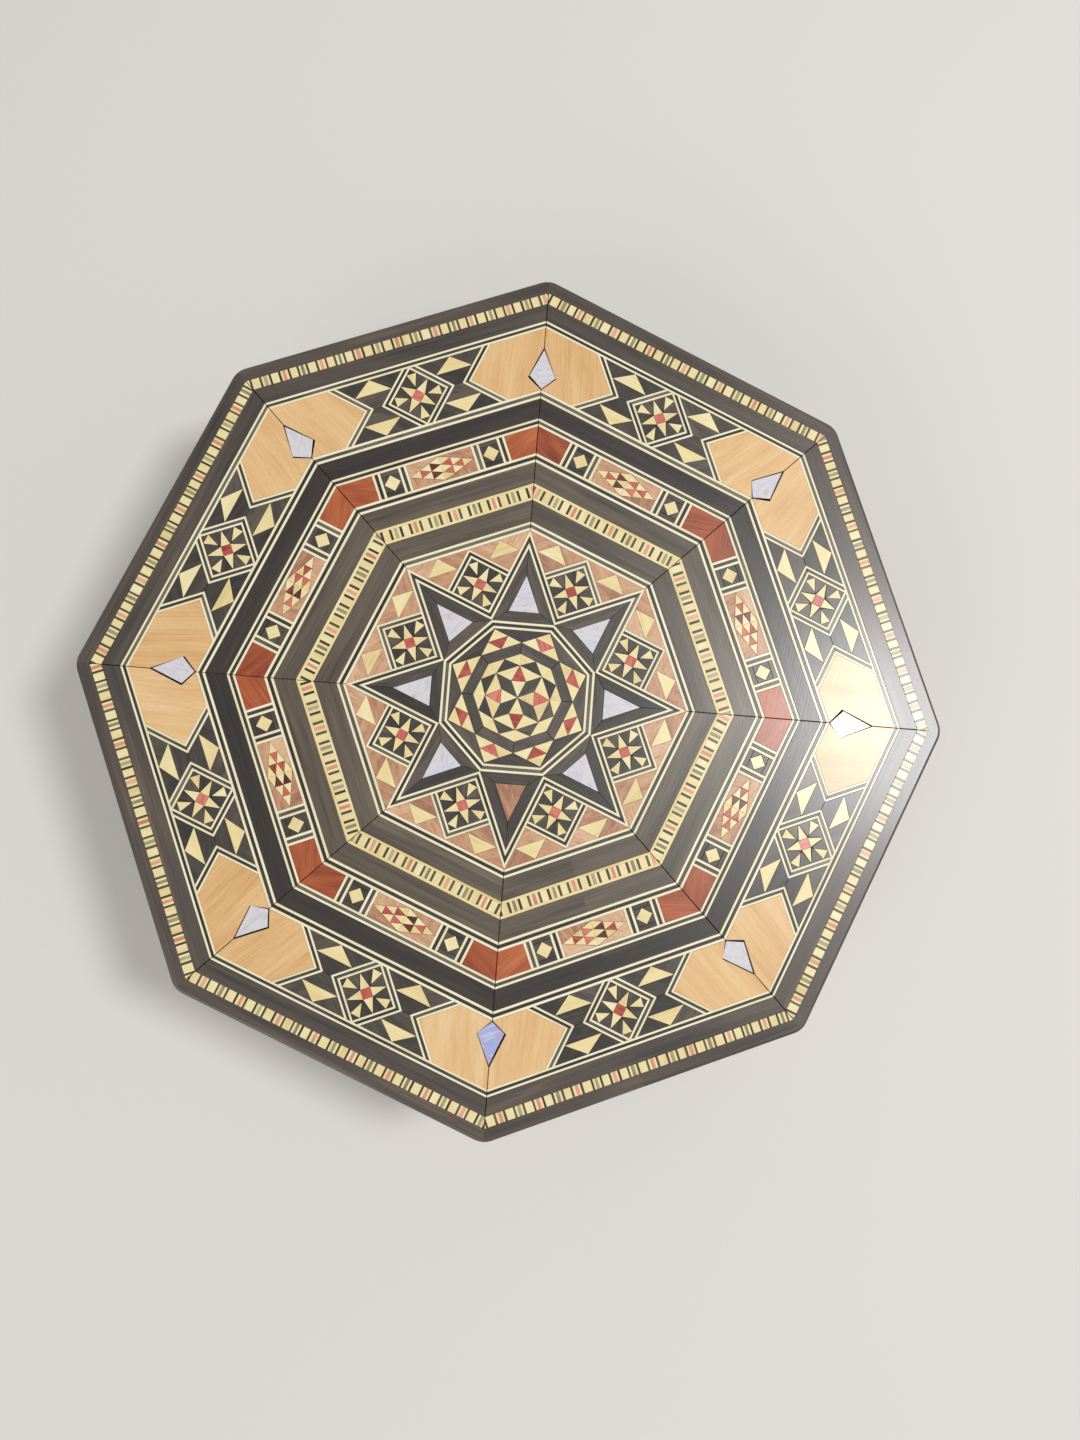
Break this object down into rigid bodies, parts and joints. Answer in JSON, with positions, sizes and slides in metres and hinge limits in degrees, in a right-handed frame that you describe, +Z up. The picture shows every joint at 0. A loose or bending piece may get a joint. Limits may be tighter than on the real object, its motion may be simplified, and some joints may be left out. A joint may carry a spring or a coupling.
{
  "type": "inlaid wooden box",
  "caption": "Octagonal keepsake box with a flat hinged lid, star and band marquetry in mixed woods and pearl, and a padded velvet lining.",
  "frame": {"origin": "centre of the underside, on the surface the box stands on", "axes": "+Z up, -Y towards the front flat, +Y towards the hinged back flat, +X to the right"},
  "size_m": [0.2222, 0.2222, 0.062],
  "materials": {
    "beech_board": "sanded",
    "walnut": "satin lacquer",
    "stripes": "satin lacquer",
    "stringing": "satin lacquer",
    "maple": "satin lacquer",
    "marquetry": "satin lacquer",
    "dark_wood": "satin lacquer",
    "padauk": "satin lacquer",
    "pearl": "polished",
    "velvet": "short pile",
    "felt": "pressed",
    "brass": "polished"
  },
  "bodies": {
    "case": {"base_board": "beech_board", "base_felt": "felt", "case_hinge_leaves": "brass", "case_hinge_screws": "brass", "floor_pad": "velvet", "hinge_pins": "brass", "side_arrow_stringing": "stringing", "side_corner_panels": "maple", "side_star_frames": "stringing", "side_star_tiles": "marquetry", "side_stringing": "stringing", "side_stripe_bands": "stripes", "side_walnut_bands": "walnut", "side_wedge_units": "marquetry", "wall_boards": "beech_board", "wall_pads": "velvet"},
    "lid": {"centre_walnut_band": "walnut", "core_infill_triangles": "dark_wood", "core_point_units": "marquetry", "core_ring": "dark_wood", "core_rosette": "marquetry", "core_stringing": "stringing", "inner_stripe_band": "stripes", "inner_walnut_band": "walnut", "lid_board": "beech_board", "lid_edge_band": "walnut", "lid_hinge_leaves": "brass", "lid_hinge_screws": "brass", "lid_pad": "velvet", "lid_rim_rails": "walnut", "lid_side_stripe": "stripes", "middle_walnut_band": "walnut", "narrow_band_corner_blocks": "padauk", "narrow_band_crossbars": "stringing", "narrow_band_diamond_tiles": "marquetry", "narrow_band_rhombus_panels": "marquetry", "outer_stripe_band": "stripes", "outer_walnut_band": "walnut", "star_point_borders": "dark_wood", "star_point_pearls": "pearl", "star_point_stringing": "stringing", "stringing_ring_1": "stringing", "stringing_ring_2": "stringing", "stringing_ring_3": "stringing", "stringing_ring_4": "stringing", "stringing_ring_5": "stringing", "valley_star_tiles": "marquetry", "valley_tile_stringing": "stringing", "valley_wedge_units": "marquetry", "wide_band_arrow_stringing": "stringing", "wide_band_corner_panels": "maple", "wide_band_pearl_kites": "pearl", "wide_band_star_frames": "stringing", "wide_band_star_tiles": "marquetry", "wide_band_wedge_units": "marquetry"}
  },
  "joints": [
    {"name": "lid_hinge", "type": "hinge", "parent": "case", "child": "lid", "pos_m": [0, 0.1087, 0.04415], "axis": [-1, 0, 0], "range_deg": [0, 95]}
  ]
}
